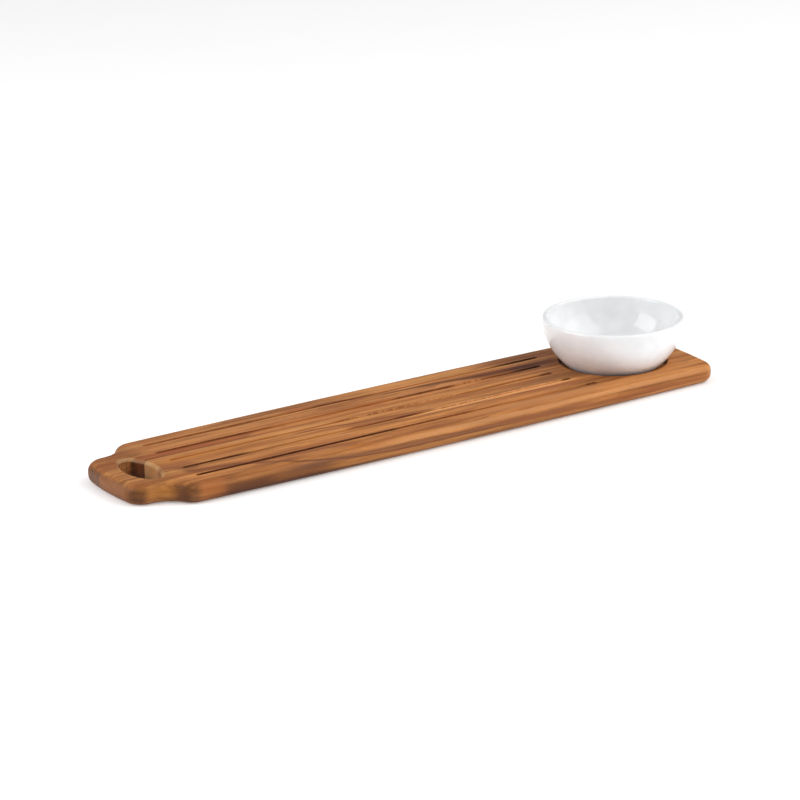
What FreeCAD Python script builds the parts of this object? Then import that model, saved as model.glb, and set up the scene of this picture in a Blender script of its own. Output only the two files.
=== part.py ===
import FreeCAD, Part
import math
import os

# Chip and dip server: a long edge-glued serving board with a pierced handle, five shallow
# grooves and a round recess, and a loose porcelain dip bowl that stands in the recess.
# Millimetres. The origin is at the centre of the board's footprint, on its underside:
# +X runs towards the bowl, +Y towards the back edge, +Z up.

# ---- board ----
LENGTH = 610.0
THICKNESS = 18.5
BODY_HALF_WIDTH = 65.5  # where the long sides meet the ends
SIDE_BOW = 3.7  # how far each long side bulges at its middle
END_BOW = 4.4  # how far each end bulges at its middle
BODY_CORNER = 14.0  # plan radius of the two corners at the bowl end
TOP_ROUND = 7.7  # round-over along the top edge
BOTTOM_ROUND = 8.1

# ---- handle ----
HANDLE_HALF_WIDTH = 45.4
HANDLE_CORNER = 18.5
NECK_HOLLOW = 23.7  # concave radius between handle and shoulder
SHOULDER = 18.7  # convex radius of the shoulder
SHOULDER_START = 38.8  # from the handle end to the face of the shoulder

# ---- finger hole, a four-arc oval set across the handle ----
HOLE_FROM_END = 33.0
HOLE_Y = -2.7
HOLE_HALF_LENGTH = 28.2  # across the board
HOLE_HALF_WIDTH = 13.5  # along the board
HOLE_TIP = 8.0  # radius of the oval's two tips
HOLE_ROUND = 4.0

# ---- grooves, cut by a round-nosed cutter ----
GROOVE_COUNT = 5
GROOVE_SPACING = 22.7
GROOVE_WIDTH = 3.5
GROOVE_DEPTH = 2.8
GROOVE_NOSE = 1.6  # radius along the bottom edges of the cut
GROOVE_EASE = 0.35  # softened top edge
GROOVE_START = 63.2  # from the handle end
GROOVE_CLEARANCE = 70.6  # grooves stop on this circle round the bowl

# ---- recess for the bowl ----
RECESS_FROM_END = 73.0  # centre, from the bowl end of the board
RECESS_RADIUS = 50.2
RECESS_DEPTH = 5.5
RECESS_FLOOR_ROUND = 1.5
RECESS_EASE = 1.0

# ---- glue lines between the staves, from back to front ----
GLUE_LINES = [40.2, 25.1, 10.5, -29.6]
STAVE_PLACES = ["back", "back_inner", "centre", "front_inner", "front"]

# ---- dip bowl ----
BOWL_RADIUS = 65.25
BOWL_CREST = 42.4  # above the board's top face
LIP_WALL = 4.56
BOWL_LOW_RADIUS = 46.3  # outside, just below the board's top face
BOWL_LOW_DROP = 0.8
BOWL_LOW_REACH = 7.9  # pull of the outside curve at its lower end
BOWL_LOW_SLOPE = 44.0  # degrees from level
BOWL_HIGH_REACH = 21.6  # pull of the outside curve below the lip
FOOT_RADIUS = 41.0
FOOT_WALL = 4.0
FOOT_HEIGHT = 1.8  # hollow inside the foot ring
FOOT_SHOULDER = 2.3  # height at which the ring meets the wall
FOOT_EDGE = 0.8
FLOOR_WALL = 4.4
FLOOR_RADIUS = 30.0  # flat of the bowl's inside floor
INNER_LOW_REACH = 17.0
INNER_HIGH_REACH = 21.6

HANDLE_END = -LENGTH / 2
BOWL_X = LENGTH / 2 - RECESS_FROM_END
RECESS_FLOOR = THICKNESS - RECESS_DEPTH
SIDE_START = HANDLE_END + SHOULDER_START
BODY_LENGTH = LENGTH / 2 - SIDE_START


def vector(x, y, z=0.0):
    """Point in space."""
    return FreeCAD.Vector(x, y, z)


def bow_radius(half_chord, bow):
    """Radius of an arc from half its chord and its rise."""
    return (half_chord**2 + bow**2) / (2 * bow)


def arc_about(centre, start, end):
    """Shorter arc from start to end about centre."""
    spoke = (start - centre) + (end - centre)
    middle = centre + spoke.normalize() * (start - centre).Length
    return Part.Arc(start, middle, end).toShape()


def pushed_out(centre, from_point, distance):
    """Point beyond centre, seen from from_point, at a distance from centre."""
    return centre + (centre - from_point).normalize() * distance


def crossing(centre_a, radius_a, centre_b, radius_b):
    """Upper crossing of two circles in plan."""
    gap = centre_b - centre_a
    along = (gap.Length**2 + radius_a**2 - radius_b**2) / (2 * gap.Length)
    height = math.sqrt(radius_a**2 - along**2)
    unit = gap / gap.Length
    foot = centre_a + unit * along
    sides = [foot + vector(-unit.y, unit.x) * height, foot + vector(unit.y, -unit.x) * height]
    return max(sides, key=lambda point: point.y)


def board_outline():
    """Closed plan outline of the board: its back half as tangent arcs, and their mirror."""
    handle_bow = bow_radius(HANDLE_HALF_WIDTH, END_BOW)
    bowl_bow = bow_radius(BODY_HALF_WIDTH, END_BOW)
    side_bow = bow_radius(BODY_LENGTH / 2, SIDE_BOW)
    handle_centre = vector(HANDLE_END + handle_bow, 0)
    bowl_centre = vector(LENGTH / 2 - bowl_bow, 0)
    side_centre = vector(SIDE_START + BODY_LENGTH / 2, BODY_HALF_WIDTH + SIDE_BOW - side_bow)

    corner_y = HANDLE_HALF_WIDTH - HANDLE_CORNER
    corner_x = handle_centre.x - math.sqrt((handle_bow - HANDLE_CORNER) ** 2 - corner_y**2)
    corner = vector(corner_x, corner_y)

    shoulder_x = SIDE_START + SHOULDER
    reach = math.sqrt((side_bow - SHOULDER) ** 2 - (shoulder_x - side_centre.x) ** 2)
    shoulder = vector(shoulder_x, side_centre.y + reach)

    hollow_y = HANDLE_HALF_WIDTH + NECK_HOLLOW
    hollow_run = math.sqrt((NECK_HOLLOW + SHOULDER) ** 2 - (hollow_y - shoulder.y) ** 2)
    hollow = vector(shoulder.x - hollow_run, hollow_y)

    far_corner = crossing(side_centre, side_bow - BODY_CORNER, bowl_centre, bowl_bow - BODY_CORNER)

    handle_tip = vector(HANDLE_END, 0)
    corner_start = pushed_out(corner, handle_centre, HANDLE_CORNER)
    corner_end = corner + vector(0, HANDLE_CORNER)
    hollow_start = hollow - vector(0, NECK_HOLLOW)
    hollow_end = hollow + (shoulder - hollow).normalize() * NECK_HOLLOW
    shoulder_end = pushed_out(shoulder, side_centre, SHOULDER)
    side_end = pushed_out(far_corner, side_centre, BODY_CORNER)
    end_start = pushed_out(far_corner, bowl_centre, BODY_CORNER)
    bowl_tip = vector(LENGTH / 2, 0)

    half = [
        arc_about(handle_centre, handle_tip, corner_start),
        arc_about(corner, corner_start, corner_end),
        Part.LineSegment(corner_end, hollow_start).toShape(),
        arc_about(hollow, hollow_start, hollow_end),
        arc_about(shoulder, hollow_end, shoulder_end),
        arc_about(side_centre, shoulder_end, side_end),
        arc_about(far_corner, side_end, end_start),
        arc_about(bowl_centre, end_start, bowl_tip),
    ]
    mirrored = [edge.mirror(vector(0, 0), vector(0, 1)) for edge in half]
    return Part.Wire(Part.__sortEdges__(half + mirrored))


def edges_in_plane(shape, height, inside=None):
    """Edges that lie level at a height, and within an area test if one is given."""
    found = []
    for edge in shape.Edges:
        box = edge.BoundBox
        level = abs(box.ZMin - height) < 1e-4 and abs(box.ZMax - height) < 1e-4
        if level and (inside is None or inside(box)):
            found.append(edge)
    return found


def board_blank():
    """Board with its outer round-overs, before the hole, grooves and recess."""
    blank = Part.Face(board_outline()).extrude(vector(0, 0, THICKNESS))
    blank = blank.makeFillet(TOP_ROUND, edges_in_plane(blank, THICKNESS))
    return blank.makeFillet(BOTTOM_ROUND, edges_in_plane(blank, 0.0))


def finger_hole():
    """Oval cutter for the handle's finger hole."""
    tip_offset = HOLE_HALF_LENGTH - HOLE_TIP
    flank = (HOLE_HALF_WIDTH**2 + tip_offset**2 - HOLE_TIP**2) / (2 * (HOLE_HALF_WIDTH - HOLE_TIP))
    centre = vector(HANDLE_END + HOLE_FROM_END, HOLE_Y)
    edges = []
    for side in (1, -1):
        tip = centre + vector(0, side * tip_offset)
        flank_centre = centre - vector(side * (flank - HOLE_HALF_WIDTH), 0)
        other_centre = centre + vector(side * (flank - HOLE_HALF_WIDTH), 0)
        near = pushed_out(tip, flank_centre, HOLE_TIP)
        far = pushed_out(tip, other_centre, HOLE_TIP)
        opposite = pushed_out(centre - vector(0, side * tip_offset), flank_centre, HOLE_TIP)
        edges.append(Part.Arc(near, tip + vector(0, side * HOLE_TIP), far).toShape())
        edges.append(Part.Arc(near, centre + vector(side * HOLE_HALF_WIDTH, 0), opposite).toShape())
    wire = Part.Wire(Part.__sortEdges__(edges))
    return Part.Face(wire).extrude(vector(0, 0, THICKNESS))


def groove(y):
    """Round-ended cutter for one groove, from its start line to the circle round the bowl."""
    half = GROOVE_WIDTH / 2
    start = HANDLE_END + GROOVE_START + half
    end = BOWL_X - math.sqrt(GROOVE_CLEARANCE**2 - y**2) - half
    floor = THICKNESS - GROOVE_DEPTH
    points = [vector(start, y + half, floor), vector(end, y + half, floor)]
    points += [vector(end, y - half, floor), vector(start, y - half, floor)]
    edges = [
        Part.LineSegment(points[0], points[1]).toShape(),
        Part.Arc(points[1], vector(end + half, y, floor), points[2]).toShape(),
        Part.LineSegment(points[2], points[3]).toShape(),
        Part.Arc(points[3], vector(start - half, y, floor), points[0]).toShape(),
    ]
    cutter = Part.Face(Part.Wire(edges)).extrude(vector(0, 0, GROOVE_DEPTH))
    return cutter.makeFillet(GROOVE_NOSE, edges_in_plane(cutter, floor))


def recess():
    """Round cutter for the bowl's recess."""
    cutter = Part.makeCylinder(RECESS_RADIUS, RECESS_DEPTH, vector(BOWL_X, 0, RECESS_FLOOR))
    return cutter.makeFillet(RECESS_FLOOR_ROUND, edges_in_plane(cutter, RECESS_FLOOR))


def board():
    """Whole board in one solid, shaped and cut."""
    middle = (GROOVE_COUNT - 1) / 2
    cutters = [finger_hole(), recess()]
    cutters += [groove((index - middle) * GROOVE_SPACING) for index in range(GROOVE_COUNT)]
    shape = board_blank()
    for cutter in cutters:
        shape = shape.cut(cutter)

    groove_ends = (HANDLE_END + GROOVE_START - GROOVE_WIDTH, BOWL_X - GROOVE_CLEARANCE / 2)

    def at_hole(box):
        across = max(abs(box.YMin - HOLE_Y), abs(box.YMax - HOLE_Y)) < HOLE_HALF_LENGTH + 1
        middle_x = HANDLE_END + HOLE_FROM_END
        along = max(abs(box.XMin - middle_x), abs(box.XMax - middle_x)) < HOLE_HALF_WIDTH + 1
        return across and along

    def at_grooves(box):
        return groove_ends[0] < box.XMin and box.XMax < groove_ends[1] and box.YLength < 2 * GROOVE_WIDTH

    def at_recess(box):
        return abs(box.XMin - BOWL_X + RECESS_RADIUS) < 0.01

    hole_edges = edges_in_plane(shape, THICKNESS, at_hole) + edges_in_plane(shape, 0.0, at_hole)
    shape = shape.makeFillet(HOLE_ROUND, hole_edges)
    shape = shape.makeFillet(GROOVE_EASE, edges_in_plane(shape, THICKNESS, at_grooves))
    return shape.makeFillet(RECESS_EASE, edges_in_plane(shape, THICKNESS, at_recess))


def staves(whole):
    """The board sawn along its glue lines. The finger hole parts two of the staves, and the
    short piece left beyond it is a handle end of its own."""
    margin = 10.0
    bounds = [BODY_HALF_WIDTH + margin] + GLUE_LINES + [-BODY_HALF_WIDTH - margin]
    pieces = {}
    for place, high, low in zip(STAVE_PLACES, bounds, bounds[1:]):
        corner = vector(HANDLE_END - margin, low, -margin)
        slab = Part.makeBox(LENGTH + 2 * margin, high - low, THICKNESS + 2 * margin, corner)
        solids = sorted(whole.common(slab).Solids, key=lambda solid: -solid.Volume)
        pieces.update(zip(["stave_" + place, "handle_end_" + place], solids))
    return pieces


def bezier(points):
    """Curved edge from its control points, each a radius and a height."""
    curve = Part.BezierCurve()
    curve.setPoles([vector(radius, 0, height) for radius, height in points])
    return curve.toShape()


def dip_bowl():
    """Bowl turned about its own axis: foot ring, curved wall, rounded lip."""
    top = THICKNESS
    slope = math.radians(BOWL_LOW_SLOPE)
    lip_radius = LIP_WALL / 2
    lip_height = top + BOWL_CREST - lip_radius
    inside_radius = BOWL_RADIUS - LIP_WALL
    floor = RECESS_FLOOR + FOOT_HEIGHT + FLOOR_WALL
    foot = RECESS_FLOOR
    shoulder = foot + FOOT_SHOULDER
    low = top - BOWL_LOW_DROP
    shoulder_radius = BOWL_LOW_RADIUS - (low - shoulder) / math.tan(slope)
    ring = FOOT_RADIUS - FOOT_WALL

    outside = bezier([
        (BOWL_LOW_RADIUS, low),
        (BOWL_LOW_RADIUS + BOWL_LOW_REACH * math.cos(slope), low + BOWL_LOW_REACH * math.sin(slope)),
        (BOWL_RADIUS, lip_height - BOWL_HIGH_REACH),
        (BOWL_RADIUS, lip_height),
    ])
    lip = Part.Arc(
        vector(BOWL_RADIUS, 0, lip_height),
        vector(BOWL_RADIUS - lip_radius, 0, lip_height + lip_radius),
        vector(inside_radius, 0, lip_height),
    ).toShape()
    inside = bezier([
        (inside_radius, lip_height),
        (inside_radius, lip_height - INNER_HIGH_REACH),
        (FLOOR_RADIUS + INNER_LOW_REACH, floor),
        (FLOOR_RADIUS, floor),
    ])
    straight = [
        (FLOOR_RADIUS, floor),
        (0, floor),
        (0, foot + FOOT_HEIGHT),
        (ring, foot + FOOT_HEIGHT),
        (ring, foot),
        (FOOT_RADIUS, foot),
        (FOOT_RADIUS, shoulder),
        (shoulder_radius, shoulder),
        (BOWL_LOW_RADIUS, low),
    ]
    corners = [vector(radius, 0, height) for radius, height in straight]
    sides = [Part.LineSegment(start, end).toShape() for start, end in zip(corners, corners[1:])]
    face = Part.Face(Part.Wire([outside, lip, inside] + sides))
    solid = face.revolve(vector(0, 0, 0), vector(0, 0, 1), 360)
    solid = solid.makeFillet(FOOT_EDGE, edges_in_plane(solid, foot))
    solid.translate(vector(BOWL_X, 0, 0))
    return solid


os.makedirs("parts", exist_ok=True)
pieces = staves(board())
pieces["dip_bowl"] = dip_bowl()
for name, piece in pieces.items():
    print(name, "valid", piece.isValid(), "volume", round(piece.Volume))
    piece.exportStep("parts/" + name + ".step")
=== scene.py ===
"""Chip and dip server: an edge-glued serving board of warm brown wood, and a white porcelain
dip bowl that stands loose in the board's round recess.

The board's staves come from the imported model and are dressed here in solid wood, grain, end
grain, grooves and all. The bowl is turned here as a fine mesh of the same size. Pieces are in
metres, in the model's own frame: +X runs to the bowl, +Y to the back edge, +Z up. Patterns in
the wood are laid out in millimetres.
"""

from __future__ import annotations

import logging
import math
from dataclasses import dataclass
from enum import Enum

import bmesh
import bpy
from mathutils import Matrix, Vector
from mathutils.geometry import interpolate_bezier


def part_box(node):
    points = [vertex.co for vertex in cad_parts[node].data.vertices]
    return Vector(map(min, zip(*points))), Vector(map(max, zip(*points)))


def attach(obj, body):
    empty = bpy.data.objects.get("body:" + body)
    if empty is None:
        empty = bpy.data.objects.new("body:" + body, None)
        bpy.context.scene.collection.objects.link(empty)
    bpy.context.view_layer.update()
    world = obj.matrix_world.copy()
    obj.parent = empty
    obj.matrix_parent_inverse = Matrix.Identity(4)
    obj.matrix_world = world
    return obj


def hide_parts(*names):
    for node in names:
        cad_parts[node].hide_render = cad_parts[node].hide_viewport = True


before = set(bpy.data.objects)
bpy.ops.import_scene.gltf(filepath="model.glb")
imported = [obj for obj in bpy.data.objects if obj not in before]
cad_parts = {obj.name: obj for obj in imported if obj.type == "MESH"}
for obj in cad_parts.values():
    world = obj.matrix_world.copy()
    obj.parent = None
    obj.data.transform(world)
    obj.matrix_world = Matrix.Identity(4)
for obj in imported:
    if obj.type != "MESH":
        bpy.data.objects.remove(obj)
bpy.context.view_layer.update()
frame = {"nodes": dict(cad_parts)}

LOG = logging.getLogger("chip_and_dip_server")
MILLIMETRE = 0.001
REACH_ALONG = 310.0
REACH_ACROSS = 80.0

Colour = tuple[float, float, float]


def tone(red: int, green: int, blue: int) -> Colour:
    """Linear colour of an eight-bit screen colour."""

    def linear(level: int) -> float:
        """Linear share of one eight-bit level."""
        share = level / 255
        return share / 12.92 if share <= 0.04045 else ((share + 0.055) / 1.055) ** 2.4

    return linear(red), linear(green), linear(blue)


# ---------------------------------------------------------------------------------------------
# Shader building
# ---------------------------------------------------------------------------------------------


class Signal:
    """One output of a node. Arithmetic on it adds Math nodes."""

    def __init__(self, shader: Shader, socket: bpy.types.NodeSocket) -> None:
        """Wraps a socket of a shader."""
        self.shader = shader
        self.socket = socket

    def __add__(self, other: Signal | float) -> Signal:
        """Sum."""
        return self.shader.math("ADD", self, other)

    def __radd__(self, other: float) -> Signal:
        """Sum, with the number first."""
        return self.shader.math("ADD", other, self)

    def __sub__(self, other: Signal | float) -> Signal:
        """Difference."""
        return self.shader.math("SUBTRACT", self, other)

    def __rsub__(self, other: float) -> Signal:
        """Difference, with the number first."""
        return self.shader.math("SUBTRACT", other, self)

    def __mul__(self, other: Signal | float) -> Signal:
        """Product."""
        return self.shader.math("MULTIPLY", self, other)

    def __rmul__(self, other: float) -> Signal:
        """Product, with the number first."""
        return self.shader.math("MULTIPLY", other, self)

    def __truediv__(self, other: Signal | float) -> Signal:
        """Quotient."""
        return self.shader.math("DIVIDE", self, other)

    def __rtruediv__(self, other: float) -> Signal:
        """Quotient, with the number first."""
        return self.shader.math("DIVIDE", other, self)

    def __abs__(self) -> Signal:
        """Size without its sign."""
        return self.shader.math("ABSOLUTE", self)


class Shader:
    """Node tree of one material, built up node by node."""

    def __init__(self, tree: bpy.types.NodeTree) -> None:
        """Starts from an emptied node tree."""
        self.tree = tree
        self.tree.nodes.clear()

    @classmethod
    def of_material(cls, name: str) -> tuple[bpy.types.Material, Shader]:
        """New material and the shader that builds it."""
        material = bpy.data.materials.new(name)
        material.use_nodes = True
        return material, cls(material.node_tree)

    def node(
        self,
        kind: str,
        settings: dict[str, object] | None = None,
        inputs: dict[int | str, object] | None = None,
        output: int | str = 0,
    ) -> Signal:
        """Adds a node.

        Args:
            kind: the node's type.
            settings: its properties, set first; "course" fills a float curve.
            inputs: for each socket, a number, a colour or a Signal.
            output: the output that is returned.

        Returns:
            The chosen output.
        """
        made = self.tree.nodes.new(kind)
        for name, value in (settings or {}).items():
            if name == "course":
                self._set_course(made.mapping, value)
            else:
                setattr(made, name, value)
        for key, value in (inputs or {}).items():
            socket = made.inputs[key]
            if isinstance(value, Signal):
                self.tree.links.new(value.socket, socket)
            elif socket.type == "RGBA" and len(value) == 3:
                socket.default_value = (*value, 1.0)
            else:
                socket.default_value = value
        return Signal(self, made.outputs[output]) if len(made.outputs) else None

    @staticmethod
    def _set_course(mapping: bpy.types.CurveMapping, course: list[tuple[float, float]]) -> None:
        """Fills a float curve with points that run from 0 to 1."""
        points = mapping.curves[0].points
        points[0].location = course[0]
        points[1].location = course[-1]
        for along, across in course[1:-1]:
            points.new(along, across)
        mapping.update()

    def math(self, operation: str, *values: Signal | float) -> Signal:
        """Math node on one or more values."""
        return self.node("ShaderNodeMath", {"operation": operation}, dict(enumerate(values)))

    def place(self) -> Signal:
        """Object coordinates, in millimetres."""
        here = self.node("ShaderNodeTexCoord", output="Object")
        return self.node("ShaderNodeMapping", inputs={"Vector": here, "Scale": (1 / MILLIMETRE,) * 3})

    def split(self, vector: Signal) -> tuple[Signal, Signal, Signal]:
        """The three parts of a vector."""
        parts = self.node("ShaderNodeSeparateXYZ", inputs={0: vector})
        outputs = parts.socket.node.outputs
        return Signal(self, outputs[0]), Signal(self, outputs[1]), Signal(self, outputs[2])

    def join(self, x: Signal | float, y: Signal | float, z: Signal | float) -> Signal:
        """Vector from three parts."""
        return self.node("ShaderNodeCombineXYZ", inputs={0: x, 1: y, 2: z})

    def noise(
        self, place: Signal, size: tuple[float, float, float], seed: float, detail: float = 2.0
    ) -> Signal:
        """Smooth noise about 0.5.

        Args:
            place: where it is read, in millimetres.
            size: size of a blotch along X, Y and Z, in millimetres.
            seed: picks one pattern.
            detail: how many finer layers are added.

        Returns:
            Value near 0.5, from 0 to 1.
        """
        rate = tuple(1.0 / length for length in size)
        scaled = self.node(
            "ShaderNodeVectorMath", {"operation": "MULTIPLY"}, {0: place, 1: rate}
        )
        return self.node(
            "ShaderNodeTexNoise",
            {"noise_dimensions": "4D"},
            {"Vector": scaled, "W": seed, "Scale": 1.0, "Detail": detail, "Roughness": 0.55},
        )

    def soft_step(self, value: Signal, low: float, high: float) -> Signal:
        """0 where value is at low, 1 where it is at high, smooth between. Low may be the larger."""
        return self.node(
            "ShaderNodeMapRange",
            {"interpolation_type": "SMOOTHSTEP", "clamp": True},
            {"Value": value, "From Min": low, "From Max": high},
        )

    def mix(self, share: Signal | float, first: Signal | Colour, second: Signal | Colour) -> Signal:
        """First colour, turning into the second as share goes from 0 to 1."""
        return self.node(
            "ShaderNodeMix", {"data_type": "RGBA"}, {0: share, 6: first, 7: second}, output=2
        )

    def shade(self, colour: Signal | Colour, amount: Signal | float) -> Signal:
        """Colour made brighter or darker by a factor."""
        return self.node(
            "ShaderNodeVectorMath", {"operation": "SCALE"}, {0: colour, "Scale": amount}
        )

    def tint(self, colour: Signal | Colour, by: Signal | Colour) -> Signal:
        """One colour seen through another."""
        return self.node("ShaderNodeVectorMath", {"operation": "MULTIPLY"}, {0: colour, 1: by})

    def bump(self, height: Signal, depth: float) -> Signal:
        """Normal of a surface that height raises by up to depth metres."""
        return self.node("ShaderNodeBump", inputs={"Strength": 1.0, "Distance": depth, "Height": height})

    def finish(self, **inputs: object) -> None:
        """Ends the shader in a principled surface with these inputs, underscores for spaces."""
        named = {name.replace("_", " "): value for name, value in inputs.items()}
        surface = self.node("ShaderNodeBsdfPrincipled", inputs=named)
        self.node("ShaderNodeOutputMaterial", inputs={"Surface": surface})


# ---------------------------------------------------------------------------------------------
# Wood
# ---------------------------------------------------------------------------------------------


@dataclass(frozen=True)
class Figure:
    """A pattern in the wood, with the size of its marks along X, Y and Z in millimetres.

    With a step, it is 0 where the noise is under the step's first value and 1 over its second.
    """

    size: tuple[float, float, float]
    pattern: int
    detail: float = 2.0
    step: tuple[float, float] | None = None

    def read(self, shader: Shader, place: Signal, seed: float) -> Signal:
        """Reads the pattern at a place in the stave that has this seed."""
        value = shader.noise(place, self.size, seed + self.pattern, self.detail)
        return shader.soft_step(value, *self.step) if self.step else value


WANDER = Figure((150, 40, 40), 0)
UNEVEN_RINGS = Figure((120, 11, 11), 1)
BANDS = Figure((130, 4.5, 4.5), 2, detail=4)
LIFT = Figure((110, 30, 30), 3)
FIBRES = Figure((22, 0.7, 0.7), 5, detail=3)
GLEAM = Figure((60, 1.5, 1.5), 6, step=(0.54, 0.68))
PORES = Figure((9, 0.32, 0.32), 7, detail=1, step=(0.6, 0.7))
DASHES = Figure((34, 0.9, 0.9), 8, step=(0.55, 0.68))
RING_PATCHES = Figure((140, 16, 16), 9, step=(0.36, 0.64))
GROOVE_TEETH = Figure((2.6, 30, 5), 11, step=(0.44, 0.58))
END_DOTS = Figure((6, 0.8, 0.8), 13, detail=3)
END_BLOTCHES = Figure((20, 5, 5), 15)


class Face(Enum):
    """Where a streak shows, and so which way it is drawn."""

    TOP = "drawn on the top face, right through the board"
    FRONT = "drawn on the front edge of the board"
    # Groove streaks paint the light and shade on the groove walls: dark where they are in shade, light
    # where they are lit.
    GROOVE = "only on the walls of a groove"


@dataclass(frozen=True)
class Streak:
    """A line or band along the grain, in millimetres: most are other wood, some are painted light and
    shade.

    Its course is a list of (along, across) points, across being Y, or Z on the front edge. It
    fades out at its ends over fade, its sides waver with the fibres by a share of its width, and
    soft holds the shares of its width where it has gone and where it is full.
    """

    course: tuple[tuple[float, float], ...]
    width: float
    colour: Colour
    strength: float = 0.8
    end_width: float | None = None
    fade: float = 20.0
    ragged: float = 0.25
    face: Face = Face.TOP
    waver: float = 0.8
    soft: tuple[float, float] = (1.25, 0.35)


@dataclass(frozen=True)
class Spot:
    """What the shader knows about the point that it colours."""

    place: Signal
    x: Signal
    y: Signal
    z: Signal
    fibre: Signal
    walls: Signal
    front: Signal
    ends: Signal


@dataclass(frozen=True)
class Cuts:
    """The grooves, the recess and the finger hole of the board, in millimetres.

    The grooves stop at groove_start, and at the radius groove_end about the recess. The finger
    hole is given by its middle and its half widths. Each mask fades over a millimetre or so.
    """

    top: float = 18.5
    groove_gap: float = 22.7
    groove_half_width: float = 1.75
    groove_start: float = -242.0
    groove_end: float = 70.2
    outermost: float = 48.0
    recess_x: float = 232.0
    recess_radius: float = 50.2
    hole_x: float = -272.0
    hole_y: float = -2.7
    hole_half_x: float = 13.5
    hole_half_y: float = 28.2

    def _from_recess(self, shader: Shader, x: Signal, y: Signal) -> Signal:
        """Distance from the axis of the recess."""
        out = x - self.recess_x
        return shader.math("SQRT", out * out + y * y)

    def groove_walls(self, shader: Shader, x: Signal, y: Signal, z: Signal) -> Signal:
        """1 in the grooves and on their very edges, 0 elsewhere."""
        turn = shader.math("FRACT", y / self.groove_gap + 0.5) - 0.5
        edge = self.groove_half_width
        beside = shader.soft_step(abs(turn) * self.groove_gap, edge + 0.7, edge + 0.35)
        shallow = shader.soft_step(z, self.top - 3.6, self.top - 3.1)
        grooved = shader.soft_step(abs(y), self.outermost + 1, self.outermost)
        radius = self._from_recess(shader, x, y)
        clear = shader.soft_step(radius, self.groove_end - 0.8, self.groove_end)
        begun = shader.soft_step(x, self.groove_start - 0.8, self.groove_start)
        return beside * shallow * grooved * clear * begun

    def recess_wall_shade(self, shader: Shader, spot: Spot) -> Signal:
        """1 on the lower part of the recess wall, where painted shade goes, 0 elsewhere."""
        edge = self.recess_radius
        radius = self._from_recess(shader, spot.x, spot.y)
        inside = shader.soft_step(radius, edge + 0.6, edge + 0.1)
        outer = shader.soft_step(radius, edge - 4.0, edge - 1.0)
        under_top = shader.soft_step(spot.z, self.top - 0.9, self.top - 2.4)
        over_floor = shader.soft_step(spot.z, 9.0, 11.0)
        return inside * outer * under_top * over_floor

    def hole_rim_highlight(self, shader: Shader, spot: Spot, facing_z: Signal) -> Signal:
        """1 on the rounded edge of the finger hole, where the painted highlight goes, 0 elsewhere."""
        along = (spot.x - self.hole_x) / self.hole_half_x
        across = (spot.y - self.hole_y) / self.hole_half_y
        near = shader.soft_step(shader.math("SQRT", along * along + across * across), 1.5, 1.3)
        curved = shader.soft_step(facing_z, 0.99, 0.85) * shader.soft_step(facing_z, 0.1, 0.4)
        return near * curved

    def about_hole(self, shader: Shader, x: Signal) -> Signal:
        """1 from one end of the finger hole to the board's shoulders, 0 at the board's ends."""
        before = shader.soft_step(x, self.hole_x - 24.0, self.hole_x - 18.0)
        behind = shader.soft_step(x, self.hole_x + 42.0, self.hole_x + 32.0)
        return before * behind


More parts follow.
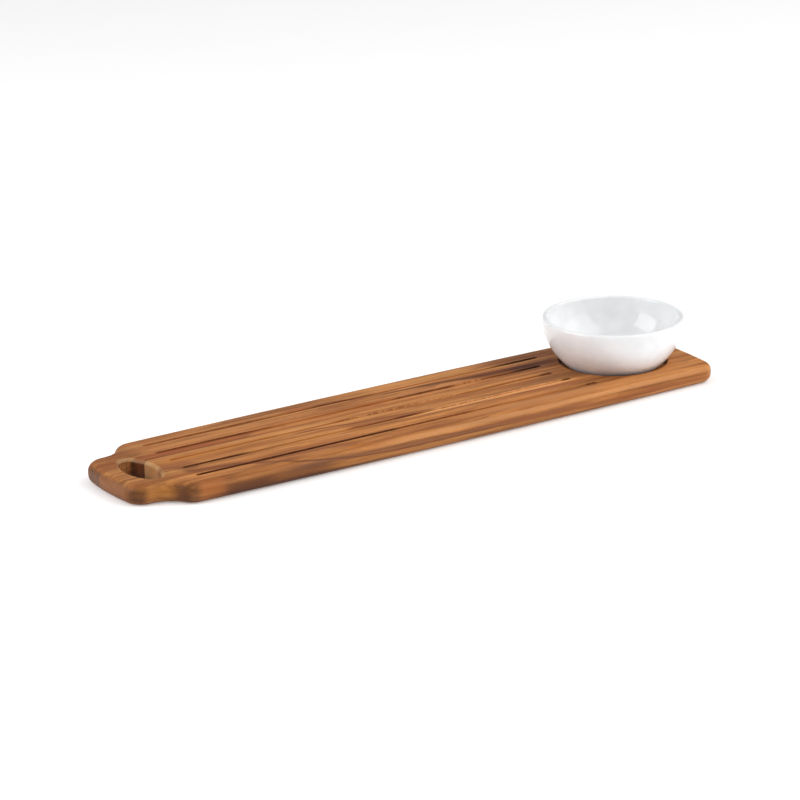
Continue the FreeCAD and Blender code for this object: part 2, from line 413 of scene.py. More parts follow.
@dataclass(frozen=True)
class WoodFinish:
    """Oiled wood of one stave, the same all through its thickness.

    Lengths are in millimetres, and each depth, rise or strength is a share of the colour.
    """

    name: str
    light: Colour
    dark: Colour
    seed: float
    pith: tuple[float, float]
    ring_gap: float
    end_grain: Colour
    # End grain colour in and about the finger hole, with painted light and shade in it.
    hole_wall_light_and_shade: Colour
    streaks: tuple[Streak, ...] = ()
    # Colour of the painted highlight on the finger hole's rounded edge.
    rim_highlight: Colour = tone(208, 176, 146)
    oil: Colour = (0.95, 0.85, 0.60)
    wander: float = 9.0
    lift: float = 7.0
    taper: float = 0.02
    ring_strength: float = 0.34
    pore_depth: float = 0.28
    dash_depth: float = 0.3
    gleam_rise: float = 0.2
    # Share of painted light that lifts the groove walls.
    groove_painted_light: float = 0.12
    joint_depth: float = 0.25
    joint_width: tuple[float, float] = (0.28, 0.06)
    # Strength of the painted highlight on the finger hole's rounded edge.
    rim_highlight_strength: float = 0.6
    end_strength: float = 0.85
    # Share of painted shade on the lower recess wall.
    recess_painted_shade: float = 0.6
    # Share of painted shade along the low edges, towards the floor.
    low_edge_painted_shade: float = 0.34
    # How much darker the handle end is made.
    handle_darkening: float = 0.2
    bump_depth: float = 0.00005

    def material(self, joints: tuple[float, ...], cuts: Cuts) -> bpy.types.Material:
        """Builds the material.

        Args:
            joints: Y of the glue lines that the stave touches, in millimetres.
            cuts: where the board is grooved, recessed and pierced.

        Returns:
            The stave's material.
        """
        material, shader = Shader.of_material(self.name)
        place = shader.place()
        x, y, z = shader.split(place)
        across = (WANDER.read(shader, place, self.seed) - 0.5) * self.wander
        upward = (LIFT.read(shader, place, self.seed) - 0.5) * self.lift
        grain = shader.join(x, y + across, z + upward)
        fibre = FIBRES.read(shader, grain, self.seed)
        pores = PORES.read(shader, grain, self.seed)
        facing_x, facing_y, facing_z = shader.split(shader.node("ShaderNodeTexCoord", output="Normal"))
        walls = cuts.groove_walls(shader, x, y, z)
        front = shader.soft_step(facing_y, -0.2, -0.6) * (1.0 - walls)
        ends = shader.soft_step(abs(facing_x), 0.45, 0.9) * (1.0 - walls)
        spot = Spot(place, x, y, z, fibre, walls, front, ends)

        colour = self._rings_and_bands(shader, grain, fibre)
        colour = shader.shade(colour, self._fine_lines(shader, grain, fibre, pores))
        colour = self._end_grain(shader, colour, spot, cuts)
        # Painted highlight on the rounded edge of the finger hole.
        rim_highlight = cuts.hole_rim_highlight(shader, spot, facing_z) * self.rim_highlight_strength
        colour = shader.mix(rim_highlight, colour, shader.shade(self.rim_highlight, 0.7 + fibre * 0.6))
        # Painted light on the groove walls, making them lighter.
        colour = shader.shade(colour, 1.0 + walls * self.groove_painted_light)
        for streak in self.streaks:
            colour = self._add_streak(shader, colour, streak, spot)
        for joint in joints:
            line = shader.soft_step(abs(y - joint), *self.joint_width)
            colour = shader.shade(colour, 1.0 - line * self.joint_depth)
        # Painted shade on the recess wall and the low edges, and the darker handle end.
        colour = shader.shade(colour, self._painted_shade_and_dark_handle(shader, spot, cuts))

        shader.finish(
            Base_Color=shader.tint(colour, self.oil),
            Roughness=0.44 + fibre * 0.12 + pores * 0.15,
            IOR=1.45,
            Specular_IOR_Level=0.22,
            Normal=shader.bump(fibre * 0.5 - pores, self.bump_depth),
        )
        return material

    def _rings_and_bands(self, shader: Shader, grain: Signal, fibre: Signal) -> Signal:
        """Colour of the wood itself: broad bands, and rings about the tree's middle."""
        x, y, z = shader.split(grain)
        across = y - self.pith[0]
        down = z - self.pith[1]
        radius = shader.math("SQRT", across * across + down * down) + x * self.taper
        uneven = UNEVEN_RINGS.read(shader, grain, self.seed)
        ring = shader.math("FRACT", radius / self.ring_gap + uneven * 1.6)
        late = shader.soft_step(ring, 0.35, 0.9) * shader.soft_step(ring, 1.0, 0.92)
        patchy = RING_PATCHES.read(shader, grain, self.seed)
        band = BANDS.read(shader, grain, self.seed)
        share = shader.soft_step(band + (fibre - 0.5) * 0.35, 0.34, 0.68)
        colour = shader.mix(share, self.light, self.dark)
        return shader.shade(colour, 1.0 - late * patchy * self.ring_strength)

    def _fine_lines(self, shader: Shader, grain: Signal, fibre: Signal, pores: Signal) -> Signal:
        """Factor for the fibres, the pores, and the short dark and bright lines among them."""
        dashes = DASHES.read(shader, grain, self.seed)
        gleam = GLEAM.read(shader, grain, self.seed)
        dark = (1.0 - pores * self.pore_depth) * (1.0 - dashes * self.dash_depth)
        return (0.76 + fibre * 0.48) * dark * (1.0 + gleam * self.gleam_rise)

    def _painted_shade_and_dark_handle(self, shader: Shader, spot: Spot, cuts: Cuts) -> Signal:
        """Factor for the painted shade on the recess wall and along the low edges, and a darker handle end.
        """
        # Painted shade on the recess wall, under the bowl's edge.
        recess = cuts.recess_wall_shade(shader, spot) * self.recess_painted_shade
        # Painted shade on the low edges, darker towards the floor.
        low = shader.soft_step(spot.z, 10.0, 1.0) * self.low_edge_painted_shade
        # The handle end is made darker.
        darker_handle = shader.soft_step(spot.x, -244.0, -264.0) * self.handle_darkening
        return (1.0 - (recess + low)) * (1.0 - darker_handle)

    def _end_grain(self, shader: Shader, colour: Signal, spot: Spot, cuts: Cuts) -> Signal:
        """Darker cut ends, with the pores as dots, where the surface faces along the grain; in and about
        the finger hole their colour holds painted light and shade.
        """
        dots = END_DOTS.read(shader, spot.place, self.seed)
        blotches = END_BLOTCHES.read(shader, spot.place, self.seed)
        cut = shader.mix(cuts.about_hole(shader, spot.x), self.end_grain, self.hole_wall_light_and_shade)
        cut = shader.shade(cut, 0.55 + dots * 0.5 + blotches * 0.4)
        return shader.mix(spot.ends * self.end_strength, colour, cut)

    def _add_streak(self, shader: Shader, colour: Signal, streak: Streak, spot: Spot) -> Signal:
        """Lays one streak over a colour.

        Args:
            shader: the material's shader.
            colour: the wood so far.
            streak: what to lay over it.
            spot: the point that is coloured.

        Returns:
            The wood with its streak.
        """
        along, across = spot.x, spot.z if streak.face is Face.FRONT else spot.y
        start, end = streak.course[0][0], streak.course[-1][0]
        waver = (spot.fibre - 0.5) * (streak.width * streak.waver)
        gap = abs(across - self._course(shader, streak, along) + waver)
        if streak.end_width is not None:
            gap = gap / shader.node(
                "ShaderNodeMapRange",
                inputs={
                    "Value": along,
                    "From Min": start,
                    "From Max": end,
                    "To Min": 1.0,
                    "To Max": streak.end_width / streak.width,
                },
            )
        gone, full = (streak.width * share for share in streak.soft)
        mask = shader.soft_step(gap, gone, full) * streak.strength
        mask = mask * shader.soft_step(along, start - streak.fade / 2, start + streak.fade / 2)
        mask = mask * shader.soft_step(along, end + streak.fade / 2, end - streak.fade / 2)
        # Groove streaks: painted light and shade on the groove walls.
        if streak.face is Face.GROOVE:
            shown = spot.walls
            broken = GROOVE_TEETH.read(shader, spot.place, self.seed)
        else:
            shown = spot.front if streak.face is Face.FRONT else 1.0 - spot.front
            broken = spot.fibre
        mask = mask * shown * (1.0 - streak.ragged + broken * streak.ragged)
        return shader.mix(mask, colour, streak.colour)

    @staticmethod
    def _course(shader: Shader, streak: Streak, along: Signal) -> Signal:
        """Where a streak's middle line runs, at a place along the board."""
        points = [
            ((x + REACH_ALONG) / (2 * REACH_ALONG), (side + REACH_ACROSS) / (2 * REACH_ACROSS))
            for x, side in streak.course
        ]
        line = shader.node(
            "ShaderNodeFloatCurve",
            {"course": points},
            {"Factor": 1.0, "Value": (along + REACH_ALONG) / (2 * REACH_ALONG)},
        )
        return line * (2 * REACH_ACROSS) - REACH_ACROSS


# Groove-face streaks here are painted shade on the groove wall, darkest as painted shadow next to the bowl.
BACK_STREAKS = (
    Streak(((-240, 45.4), (-180, 45.4), (-115, 45.4)),
           6.5, tone(138, 82, 46), 0.7, face=Face.GROOVE, ragged=0.3),
    Streak(((-250, 52), (-180, 51), (-120, 50)), 3.0, tone(158, 104, 66), 0.5, fade=60),
    Streak(((-70, 48.5), (-45, 47.4), (-28, 45.2), (-8, 45.2)), 3.0, tone(112, 62, 36), 0.85, fade=24),
    Streak(((-98, 51), (-72, 50)), 4.0, tone(168, 98, 58), 0.6),
    Streak(((-92, 42.6), (-34, 42.4)), 0.9, tone(204, 150, 108), 0.7, fade=12),
    Streak(((-10, 55), (50, 54), (112, 52)), 6.0, tone(202, 146, 94), 0.7, fade=40),
    Streak(((15, 47), (45, 47.5), (70, 46)), 1.6, tone(206, 148, 110), 0.6, fade=14),
    Streak(((20, 43), (70, 42.5), (100, 42.5)), 1.2, tone(202, 140, 92), 0.6, fade=18),
    # Painted shadow of the bowl on the top beside it.
    Streak(((120, 58), (160, 55), (215, 52)), 12.0, tone(106, 60, 32), 0.7, fade=50),
    Streak(((-300, 43), (-264, 43)), 6.0, tone(150, 90, 55), 0.6, fade=20),
    Streak(((126, 42), (142, 41.8)), 1.7, tone(196, 138, 86), 0.8, fade=8),
    Streak(((135, 45.4), (182, 45.4)), 6.5, tone(58, 30, 16), 0.9, face=Face.GROOVE, ragged=0.1, fade=30),
)

BACK_INNER_STREAKS = (
    Streak(((-240, 33), (-150, 33.5), (-90, 33)), 3.5, tone(186, 130, 88), 0.5, fade=50),
    Streak(((-62, 38.4), (-20, 38.2)), 1.6, tone(140, 84, 48), 0.7, fade=16),
    Streak(((2, 39.8), (40, 38.8), (70, 36), (100, 32.6), (140, 30.6), (190, 29.6)), 1.6,
           tone(96, 53, 30), 0.9, end_width=7.0, fade=16),
    Streak(((90, 31.6), (140, 30.0), (190, 29.0)), 6.0, tone(94, 44, 14), 0.85, fade=30),
    # Darkest part of the dark stain band, deepened with painted shadow of the bowl.
    Streak(((136, 30.4), (165, 29.6)), 4.0, tone(60, 27, 8), 0.9, fade=24),
    Streak(((-300, 34), (-262, 34)), 7.0, tone(150, 90, 55), 0.6, fade=20),
    Streak(((-10, 34), (14, 33.4)), 2.0, tone(140, 90, 56), 0.6, fade=14),
    Streak(((20, 28.6), (60, 28.4), (90, 27.2)), 2.0, tone(186, 126, 90), 0.6, fade=20),
    Streak(((190, 33), (300, 33)), 8.0, tone(120, 70, 42), 0.6, fade=40),
)

# Groove-face streaks here are painted light and shade on the groove walls, darkest as painted shadow next
# to the bowl.
CENTRE_STREAKS = (
    Streak(((-305, 18), (-245, 17.5), (-160, 16)), 5.5, tone(148, 82, 48), 0.8, fade=60),
    Streak(((-264, 11.8), (-225, 11.8), (-180, 11.6)), 1.6, tone(126, 70, 40), 0.85, fade=30),
    Streak(((-243, 22.7), (-150, 22.7)),
           6.5, tone(118, 64, 36), 0.8, face=Face.GROOVE, ragged=0.25, fade=14),
    Streak(((-10, 17.5), (30, 17), (80, 16)), 2.2, tone(206, 144, 98), 0.6, fade=24),
    Streak(((0, 12.5), (30, 12)), 1.8, tone(168, 106, 52), 0.6, fade=20),
    Streak(((5, 22.7), (48, 22.7)), 6.5, tone(104, 58, 30), 0.85, face=Face.GROOVE, ragged=0.4, fade=14),
    Streak(((52, 22.7), (68, 22.7)), 6.5, tone(118, 66, 36), 0.8, face=Face.GROOVE, ragged=0.3, fade=8),
    Streak(((68, 22.7), (100, 22.7)), 6.5, tone(222, 166, 120), 0.8, face=Face.GROOVE, ragged=0.9, fade=8),
    # Painted shadow of the bowl on the top beside it.
    Streak(((110, 20), (150, 20.5), (200, 20)), 7.0, tone(104, 60, 36), 0.7, fade=50),
    Streak(((138, 22.7), (170, 22.7)), 6.5, tone(52, 27, 14), 0.9, face=Face.GROOVE, ragged=0.1, fade=18),
)

# Groove-face streaks here are painted light and shade on the groove walls, darkest as painted shadow next
# to the bowl.
FRONT_INNER_STREAKS = (
    Streak(((-258, -1.5), (-215, -3), (-175, -3)), 5.0, tone(188, 126, 66), 0.7, fade=40),
    Streak(((-264, -16), (-228, -15)), 7.0, tone(138, 80, 52), 0.75, fade=18),
    Streak(((-228, -13), (-150, -14)), 3.6, tone(156, 92, 52), 0.55, fade=40),
    Streak(((-250, -22), (-240, -25), (-228, -29)), 6.5, tone(110, 64, 38), 0.75, fade=14),
    Streak(((-243, -22.7), (-178, -22.7)),
           6.5, tone(88, 42, 22), 0.9, face=Face.GROOVE, ragged=0.15, fade=20),
    Streak(((-190, 6.5), (-110, 5.5), (-60, 5)), 3.0, tone(200, 144, 96), 0.6, fade=60),
    Streak(((-135, 1.5), (-100, 1.8), (-70, 0)), 2.2, tone(212, 158, 112), 0.7, fade=26),
    Streak(((-155, -7), (-100, -6.6)), 1.5, tone(148, 90, 48), 0.7, fade=30),
    Streak(((-115, -5.4), (-100, -6.2), (-80, -8.2), (-62, -12), (-40, -14.6), (-18, -16.6),
            (2, -19), (20, -20)),
           1.9, tone(120, 66, 36), 0.9, fade=22),
    Streak(((-72, -18.4), (-36, -20), (-4, -22)), 4.0, tone(140, 82, 54), 0.8, fade=16),
    Streak(((-24, -21.4), (-1, -22.6)), 2.6, tone(104, 54, 42), 0.85, fade=8),
    Streak(((-58, 0), (60, 0)), 6.5, tone(222, 170, 126), 0.75, face=Face.GROOVE, ragged=0.85, fade=20),
    Streak(((112, 0), (150, 0)), 6.5, tone(196, 142, 104), 0.6, face=Face.GROOVE, ragged=0.9, fade=12),
    Streak(((150, 0), (165, 0)), 6.5, tone(92, 54, 26), 0.85, face=Face.GROOVE, ragged=0.1, fade=8),
    Streak(((60, -9), (100, -10), (150, -12)), 4.5, tone(156, 98, 62), 0.55, fade=40),
    Streak(((-20, -26), (80, -26), (172, -26)), 3.0, tone(226, 164, 112), 0.7, fade=24),
    Streak(((4, -25.6), (80, -25.4), (168, -25.6)), 1.5, tone(232, 180, 138), 0.85, fade=14),
    Streak(((8, -22.7), (158, -22.7)),
           6.5, tone(230, 176, 136), 0.85, face=Face.GROOVE, ragged=0.6, fade=14),
    Streak(((158, -22.7), (168, -22.7)), 6.5, tone(120, 76, 34), 0.9, face=Face.GROOVE, ragged=0.1, fade=4),
    # Painted shadow of the bowl on the top beside it.
    Streak(((150, 2), (178, 0)), 9.0, tone(130, 78, 48), 0.55, fade=24),
)

# Groove-face streaks here are painted shade on the groove wall, darkest as painted shadow next to the bowl.
FRONT_STREAKS = (
    Streak(((-246, -31), (-236, -35), (-222, -37.5), (-205, -41), (-182, -50.6), (-160, -61), (-148, -68)),
           4.8, tone(110, 62, 38), 0.8, end_width=2.4, fade=10),
    Streak(((-206, -44), (-170, -48.5), (-120, -51), (-96, -53)), 2.6, tone(132, 78, 54), 0.75,
           end_width=4.6, fade=24),
    Streak(((-222, -33), (-190, -32), (-150, -34)), 4.6, tone(186, 126, 84), 0.6, fade=30),
    Streak(((-140, -30), (-110, -31)), 2.0, tone(168, 112, 64), 0.5, fade=20),
    Streak(((-118, -35), (-82, -35)), 4.0, tone(156, 102, 74), 0.5, fade=20),
    Streak(((-100, -60.5), (-76, -60.5)), 3.5, tone(174, 106, 52), 0.7, fade=16),
    Streak(((-243, -45.4), (-34, -45.4)),
           6.5, tone(80, 38, 20), 0.95, face=Face.GROOVE, ragged=0.12, fade=24),
    Streak(((-34, -45.4), (42, -45.4)), 6.5, tone(134, 78, 42), 0.8, face=Face.GROOVE, ragged=0.3, fade=16),
    Streak(((168, -45.4), (180, -45.4)), 6.5, tone(116, 70, 30), 0.9, face=Face.GROOVE, ragged=0.1, fade=4),
    Streak(((4, -30), (80, -30), (172, -30.6)), 1.0, tone(140, 82, 44), 0.8, end_width=2.0, fade=20),
    Streak(((92, -30.4), (118, -30.6)), 1.2, tone(84, 44, 26), 0.85, fade=14),
    Streak(((112, -30.6), (180, -31)), 1.6, tone(150, 82, 48), 0.7, fade=20),
    Streak(((-248, -34), (-215, -38), (-188, -44)), 7.0, tone(122, 72, 44), 0.6, fade=30),
    Streak(((-200, -56), (-165, -57), (-140, -60)), 5.0, tone(128, 76, 46), 0.65, fade=30),
    Streak(((-246, 7.5), (-180, 7.5), (-116, 7.5)), 9.0, tone(100, 57, 35), 0.88, fade=50, face=Face.FRONT),
    Streak(((-244, 1.5), (-180, 2), (-60, 3)), 2.4, tone(92, 58, 40), 0.7, fade=60, face=Face.FRONT),
    # Painted light on the handle's straight side, which faces the light.
    Streak(((-292, 11), (-268, 11)), 6.0, tone(190, 130, 70), 0.75, fade=10, face=Face.FRONT),
    # Darker end grain at the handle's corner, deepened by a painted dark reflection.
    Streak(((-303, 9), (-290, 9)), 8.0, tone(90, 55, 35), 0.85, fade=8, face=Face.FRONT),
    Streak(((-266, 10), (-256, 10)), 16.0, tone(80, 48, 30), 0.8, fade=11, face=Face.FRONT),
    Streak(((-256, 9), (-250, 9)), 16.0, tone(104, 72, 56), 0.7, fade=9, face=Face.FRONT),
    Streak(((-250, 9), (-226, 9)), 16.0, tone(176, 108, 62), 0.65, fade=12, face=Face.FRONT),
    Streak(((60, -36), (120, -34), (180, -34)), 4.0, tone(166, 102, 62), 0.6, fade=50),
    Streak(((262, -31), (300, -31.4)), 2.0, tone(150, 84, 46), 0.7, fade=14),
    # Painted highlight near the front's top round-over.
    Streak(((40, -53), (140, -57), (250, -58)), 8.0, tone(200, 142, 98), 0.6, fade=90),
    Streak(((-165, 18.5), (-140, 16), (-110, 12.8), (-92, 10.8), (-60, 9.2), (-20, 8.7),
            (20, 8.7), (75, 8.2)),
           0.75, tone(84, 48, 36), 0.8, fade=30, face=Face.FRONT),
    Streak(((-130, 13.4), (-90, 12.0), (-30, 10.6), (40, 10.2), (150, 9.4)), 2.8, tone(120, 78, 62), 0.85,
           fade=60, face=Face.FRONT),
    Streak(((-222, 8.5), (-206, 8), (-180, 8.5)), 4.0, tone(92, 56, 42), 0.75, fade=22, face=Face.FRONT),
    Streak(((-160, 12.4), (-140, 12), (-122, 11)), 3.0, tone(104, 72, 62), 0.6, fade=20, face=Face.FRONT),
    Streak(((-235, 4), (-180, 3.6), (-120, 3.4)), 2.6, tone(92, 50, 32), 0.6, fade=50, face=Face.FRONT),
    # Painted light from the floor on the lower round-over of the front edge.
    Streak(((-90, 6.4), (-10, 6), (60, 6.2), (150, 5.6)),
           1.9, tone(186, 132, 86), 0.75, fade=60, face=Face.FRONT),
    # Painted highlight on the top round-over of the front edge.
    Streak(((-60, 15.8), (60, 15.6), (180, 15), (292, 14.6)), 2.0, tone(212, 158, 118), 0.6, fade=60,
           face=Face.FRONT),
    Streak(((60, 8.6), (130, 8), (200, 7.6), (296, 8)),
           2.4, tone(152, 94, 62), 0.75, fade=60, face=Face.FRONT),
)


@dataclass(frozen=True)
class Stave:
    """One glued-up strip of the board: its pieces in the model and its wood."""

    nodes: tuple[str, ...]
    wood: WoodFinish


STAVES = (
    Stave(("stave_back",), WoodFinish(
        "back_stave_wood", tone(198, 142, 98), tone(152, 97, 60), 2.3, (62.0, -38.0), 4.2,
        tone(112, 70, 44), tone(130, 84, 54), BACK_STREAKS)),
    Stave(("stave_back_inner",), WoodFinish(
        "back_inner_stave_wood", tone(196, 138, 92), tone(156, 98, 58), 7.1, (30.0, 70.0), 3.1,
        tone(100, 62, 40), tone(120, 78, 50), BACK_INNER_STREAKS)),
    # Its hole colour, near black, is painted shade inside the finger hole.
    Stave(("stave_centre", "handle_end_centre"), WoodFinish(
        "centre_stave_wood", tone(200, 138, 88), tone(152, 90, 50), 11.9, (18.0, -52.0), 3.6,
        tone(86, 74, 73), tone(26, 15, 12), CENTRE_STREAKS)),
    # Its hole colour, light tan, is end grain with painted light on the lit wall of the finger hole.
    Stave(("stave_front_inner", "handle_end_front_inner"), WoodFinish(
        "front_inner_stave_wood", tone(204, 146, 96), tone(158, 99, 56), 17.4, (-14.0, 64.0), 4.8,
        tone(142, 94, 68), tone(186, 144, 112), FRONT_INNER_STREAKS)),
    Stave(("stave_front",), WoodFinish(
        "front_stave_wood", tone(204, 142, 90), tone(158, 99, 57), 23.6, (-44.0, -46.0), 5.2,
        tone(132, 82, 52), tone(142, 86, 52), FRONT_STREAKS)),
)


@dataclass
class Board:
    """The serving board. Its staves keep the shape that the model gives them."""

    staves: tuple[Stave, ...] = STAVES
    cuts: Cuts = Cuts()
    outermost_joint: float = 60.0

    def joints(self, node: str) -> tuple[float, ...]:
        """Y of the glue lines beside a node, in millimetres, without the board's own edges."""
        low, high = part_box(node)
        sides = (low.y / MILLIMETRE, high.y / MILLIMETRE)
        return tuple(side for side in sides if abs(side) < self.outermost_joint)

    def dress(self, nodes: dict[str, bpy.types.Object]) -> None:
        """Gives every stave its wood."""
        for stave in self.staves:
            material = stave.wood.material(self.joints(stave.nodes[0]), self.cuts)
            for name in stave.nodes:
                piece = nodes[name]
                for slot in piece.material_slots:
                    slot.material = material
                LOG.info("%s is dressed in %s", name, material.name)


# ---------------------------------------------------------------------------------------------
# Porcelain bowl
# ---------------------------------------------------------------------------------------------


@dataclass(frozen=True)
class Porcelain:
    """White glazed porcelain, bare where the foot stands."""

    name: str = "glazed_porcelain"
    glaze: Colour = tone(239, 240, 241)
    pooled_glaze: Colour = tone(232, 233, 234)
    bare_clay: Colour = tone(214, 205, 190)
    bare_height: float = 0.7
    bare_fade: float = 0.25
    bump_depth: float = 0.00001

    def material(self, foot: float) -> bpy.types.Material:
        """Builds the material.

        Args:
            foot: Z of the foot's underside, in millimetres.

        Returns:
            The bowl's material.
        """
        material, shader = Shader.of_material(self.name)
        place = shader.place()
        _, _, z = shader.split(place)
        cloud = shader.noise(place, (16, 16, 16), 1.7, detail=2)
        ripple = shader.noise(place, (9, 9, 9), 4.1, detail=1)
        speck = shader.noise(place, (0.8, 0.8, 0.8), 8.3, detail=1)
        bare_top = foot + self.bare_height
        bare = shader.soft_step(z + (cloud - 0.5) * 0.5, bare_top + self.bare_fade, bare_top)
        colour = shader.mix(shader.soft_step(cloud, 0.3, 0.7), self.glaze, self.pooled_glaze)
        colour = shader.shade(colour, 1.0 - shader.soft_step(speck, 0.72, 0.8) * 0.05)
        colour = shader.mix(bare, colour, self.bare_clay)
        shader.finish(
            Base_Color=colour,
            Roughness=0.02 + cloud * 0.02 + bare * 0.5,
            IOR=1.5,
            Normal=shader.bump(ripple + speck * bare * 0.6, self.bump_depth),
        )
        return material


@dataclass
class DipBowl:
    """Round bowl, turned about its own axis. Sizes are in metres, heights from the foot."""

    node: str = "dip_bowl"
    steps: int = 192
    curve_steps: int = 22
    lip_steps: int = 12
    round_steps: int = 4
    lip_wall: float = 0.00456
    foot_radius: float = 0.041
    foot_wall: float = 0.004
    foot_hollow: float = 0.0018
    foot_shoulder: float = 0.0023
    foot_edge: float = 0.0008
    corner_round: float = 0.0005
    shoulder_round: float = 0.0006
    low_radius: float = 0.0463
    low_height: float = 0.0047
    low_slope: float = 44.0
    low_reach: float = 0.0079
    high_reach: float = 0.0216
    floor_wall: float = 0.0044
    floor_radius: float = 0.030
    floor_reach: float = 0.017
    nearness: float = 1e-5

    @property
    def foot_ring(self) -> float:
        """Radius of the foot ring's inner wall."""
        return self.foot_radius - self.foot_wall

    @property
    def shoulder_radius(self) -> float:
        """Radius at which the wall starts, over the foot ring."""
        rise = self.low_height - self.foot_shoulder
        return self.low_radius - rise / math.tan(math.radians(self.low_slope))

    def _profile(self, radius: float, height: float) -> list[tuple[float, float]]:
        """Half outline of the wall, from the middle of the underside round to the inside floor.

        Args:
            radius: the bowl's widest radius.
            height: from the foot's underside to the crest of the lip.

        Returns:
            Points as (radius, height).
        """
        slope = math.radians(self.low_slope)
        lip = self.lip_wall / 2
        lip_height = height - lip
        inside = radius - self.lip_wall
        floor = self.foot_hollow + self.floor_wall

        def curve(*poles: tuple[float, float]) -> list[tuple[float, float]]:
            """Points of a cubic curve after its first one."""
            points = interpolate_bezier(*(Vector((r, z, 0)) for r, z in poles), self.curve_steps)
            return [(point.x, point.y) for point in points[1:]]

        outside = curve(
            (self.low_radius, self.low_height),
            (
                self.low_radius + self.low_reach * math.cos(slope),
                self.low_height + self.low_reach * math.sin(slope),
            ),
            (radius, lip_height - self.high_reach),
            (radius, lip_height),
        )
        turns = [math.pi * step / self.lip_steps for step in range(1, self.lip_steps + 1)]
        crest = [(radius - lip + lip * math.cos(turn), lip_height + lip * math.sin(turn)) for turn in turns]
        wall = curve(
            (inside, lip_height),
            (inside, lip_height - self.high_reach),
            (self.floor_radius + self.floor_reach, floor),
            (self.floor_radius, floor),
        )
        under = [
            (0.0, self.foot_hollow),
            (self.foot_ring / 2, self.foot_hollow),
            (self.foot_ring, self.foot_hollow),
            (self.foot_ring, 0.0),
            (self.foot_radius, 0.0),
            (self.foot_radius, self.foot_shoulder),
            (self.shoulder_radius, self.foot_shoulder),
            (self.low_radius, self.low_height),
        ]
        return under + outside + crest + wall + [(self.floor_radius / 2, floor), (0.0, floor)]

    def build(self) -> bpy.types.Object:
        """Turns the bowl, rounds its foot and gives it its porcelain."""
        low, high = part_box(self.node)
        centre = (low + high) / 2
        radius = (high.x - low.x) / 2
        work = bmesh.new()
        profile = self._profile(radius, high.z - low.z)
        corners = [work.verts.new((centre.x + r, centre.y, low.z + h)) for r, h in profile]
        edges = [work.edges.new(pair) for pair in zip(corners, corners[1:])]
        bmesh.ops.spin(
            work,
            geom=corners + edges,
            cent=(centre.x, centre.y, 0.0),
            axis=(0, 0, 1),
            angle=math.tau,
            steps=self.steps,
            use_merge=True,
        )
        bmesh.ops.remove_doubles(work, verts=work.verts, dist=1e-6)
        self._round_foot(work, low.z, centre)
        bmesh.ops.recalc_face_normals(work, faces=work.faces)
        mesh = bpy.data.meshes.new("porcelain_bowl")
        work.to_mesh(mesh)
        work.free()
        mesh.shade_smooth()
        mesh.materials.append(Porcelain().material(low.z / MILLIMETRE))
        piece = bpy.data.objects.new("porcelain_bowl", mesh)
        bpy.context.scene.collection.objects.link(piece)
        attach(piece, "bowl")
        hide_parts(self.node)
        LOG.info("%s is turned with %d faces", piece.name, len(mesh.polygons))
        return piece

    def _round_foot(self, work: bmesh.types.BMesh, foot: float, centre: Vector) -> None:
        """Rounds the foot ring's standing edges and the corners beside it.

        Args:
            work: the bowl so far.
            foot: Z of its underside.
            centre: middle of the bowl.
        """
        rounds = (
            (self.foot_ring, 0.0, self.foot_edge),
            (self.foot_radius, 0.0, self.foot_edge),
            (self.foot_ring, self.foot_hollow, self.corner_round),
            (self.foot_radius, self.foot_shoulder, self.corner_round),
            (self.shoulder_radius, self.foot_shoulder, self.shoulder_round),
        )
        for radius, height, offset in rounds:
            loop = [
                edge
                for edge in work.edges
                if all(
                    abs(vert.co.z - foot - height) < self.nearness
                    and abs(math.hypot(vert.co.x - centre.x, vert.co.y - centre.y) - radius) < self.nearness
                    for vert in edge.verts
                )
            ]
            bmesh.ops.bevel(
                work,
                geom=loop,
                offset=offset,
                offset_type="OFFSET",
                segments=self.round_steps,
                profile=0.5,
                affect="EDGES",
                material=-1,
            )


# ---------------------------------------------------------------------------------------------
# Studio
# ---------------------------------------------------------------------------------------------


@dataclass(frozen=True)
class SoftLight:
    """A square soft light, aimed at the middle of the board."""

    name: str
    place: tuple[float, float, float]
    size: float
    power: float
    colour: Colour = (1.0, 1.0, 1.0)

    def hang(self, target: Vector) -> None:
        """Hangs the light."""
        lamp = bpy.data.lights.new(self.name, "AREA")
        lamp.shape = "SQUARE"
        lamp.size = self.size
        lamp.energy = self.power
        lamp.color = self.colour
        holder = bpy.data.objects.new(self.name, lamp)
        holder.location = self.place
        aim = target - Vector(self.place)
        holder.rotation_euler = aim.to_track_quat("-Z", "Y").to_euler()
        bpy.context.scene.collection.objects.link(holder)
        LOG.info("%s hangs %.1f m away", self.name, aim.length)


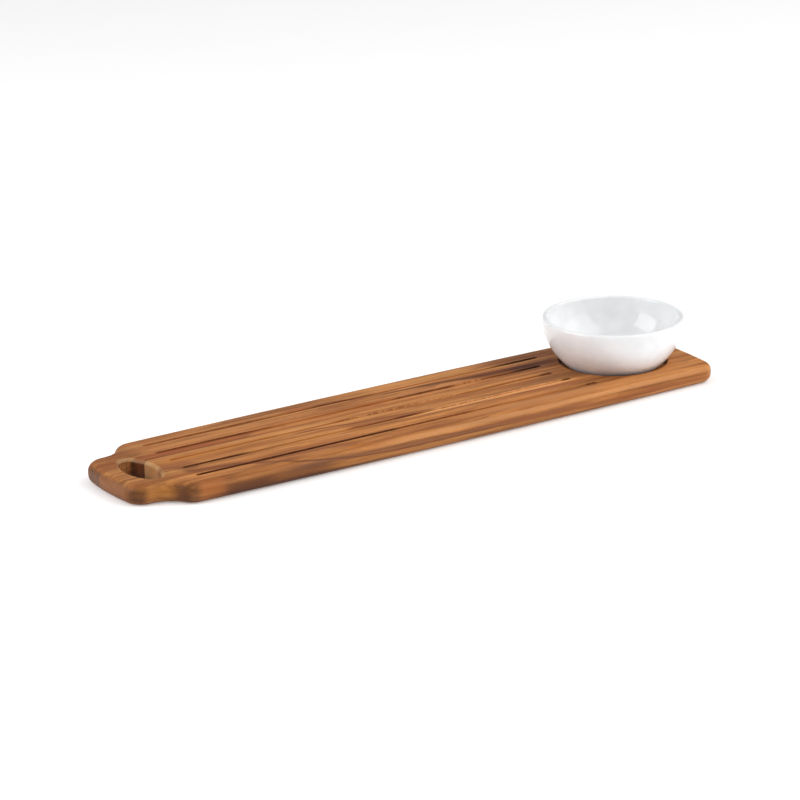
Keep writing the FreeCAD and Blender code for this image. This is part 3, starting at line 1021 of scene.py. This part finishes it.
@dataclass
class Studio:
    """White floor, soft lights and the camera."""

    floor_radius: float = 14.0
    floor_sides: int = 96
    floor_paint: Colour = tone(246, 246, 246)
    floor_mottle: Colour = tone(243, 243, 243)
    floor_light: Colour = tone(250, 250, 250)
    floor_glow: float = 0.22
    horizon: Colour = tone(168, 170, 173)
    ceiling: Colour = tone(255, 255, 255)
    surround: float = 0.62
    lights: tuple[SoftLight, ...] = (
        SoftLight("key_light", (1.6, -1.6, 1.65), 3.2, 64.0, (1.0, 0.99, 0.98)),
        SoftLight("left_light", (-1.9, 0.62, 0.95), 1.7, 30.0, (0.985, 0.99, 1.0)),
    )
    target: tuple[float, float, float] = (0.00052, 0.00856, 0.02203)
    distance: float = 2.9687
    turn: float = 33.865
    height: float = 18.563
    roll: float = -0.728
    lens: float = 150.3
    sensor: float = 36.0
    clip_end: float = 60.0

    def build(self) -> None:
        """Lays the floor, hangs the lights and sets up the camera."""
        self._lay_floor()
        self._light_surround()
        for light in self.lights:
            light.hang(Vector(self.target))
        self._set_camera()
        bpy.context.scene.view_settings.view_transform = "Standard"

    def _lay_floor(self) -> None:
        """Wide round floor of pale matt paint, lit a little from within."""
        work = bmesh.new()
        bmesh.ops.create_circle(work, cap_ends=True, radius=self.floor_radius, segments=self.floor_sides)
        mesh = bpy.data.meshes.new("studio_floor")
        work.to_mesh(mesh)
        work.free()
        material, shader = Shader.of_material("pale_floor")
        mottle = shader.noise(shader.place(), (90, 90, 90), 5.5)
        shader.finish(
            Base_Color=shader.mix(mottle, self.floor_paint, self.floor_mottle),
            Roughness=0.8 + mottle * 0.1,
            Specular_IOR_Level=0.1,
            Emission_Color=self.floor_light,
            Emission_Strength=self.floor_glow,
        )
        mesh.materials.append(material)
        floor = bpy.data.objects.new("studio_floor", mesh)
        bpy.context.scene.collection.objects.link(floor)
        LOG.info("floor laid")

    def _light_surround(self) -> None:
        """White surround, greyer towards the horizon."""
        world = bpy.data.worlds.new("studio_surround")
        world.use_nodes = True
        bpy.context.scene.world = world
        shader = Shader(world.node_tree)
        direction = shader.node("ShaderNodeTexCoord", output="Generated")
        _, _, up = shader.split(direction)
        colour = shader.mix(shader.soft_step(up, 0.1, 0.7), self.horizon, self.ceiling)
        sky = shader.node("ShaderNodeBackground", inputs={"Color": colour, "Strength": self.surround})
        shader.node("ShaderNodeOutputWorld", inputs={"Surface": sky})

    def _set_camera(self) -> None:
        """Long lens, looking along the board from the front left."""
        turn, height = math.radians(self.turn), math.radians(self.height)
        forward = Vector((
            math.sin(turn) * math.cos(height),
            math.cos(turn) * math.cos(height),
            -math.sin(height),
        ))
        data = bpy.data.cameras.new("studio_camera")
        data.lens = self.lens
        data.sensor_width = self.sensor
        data.clip_end = self.clip_end
        camera = bpy.data.objects.new("studio_camera", data)
        level = forward.to_track_quat("-Z", "Y").to_matrix().to_4x4()
        place = Matrix.Translation(Vector(self.target) - forward * self.distance)
        camera.matrix_world = place @ level @ Matrix.Rotation(math.radians(self.roll), 4, "Z")
        bpy.context.scene.collection.objects.link(camera)
        bpy.context.scene.camera = camera


def main() -> None:
    """Builds the server and its studio."""
    logging.basicConfig(level=logging.INFO, format="%(name)s: %(message)s")
    Board().dress(frame["nodes"])
    DipBowl().build()
    Studio().build()


if __name__ == "__main__":
    main()
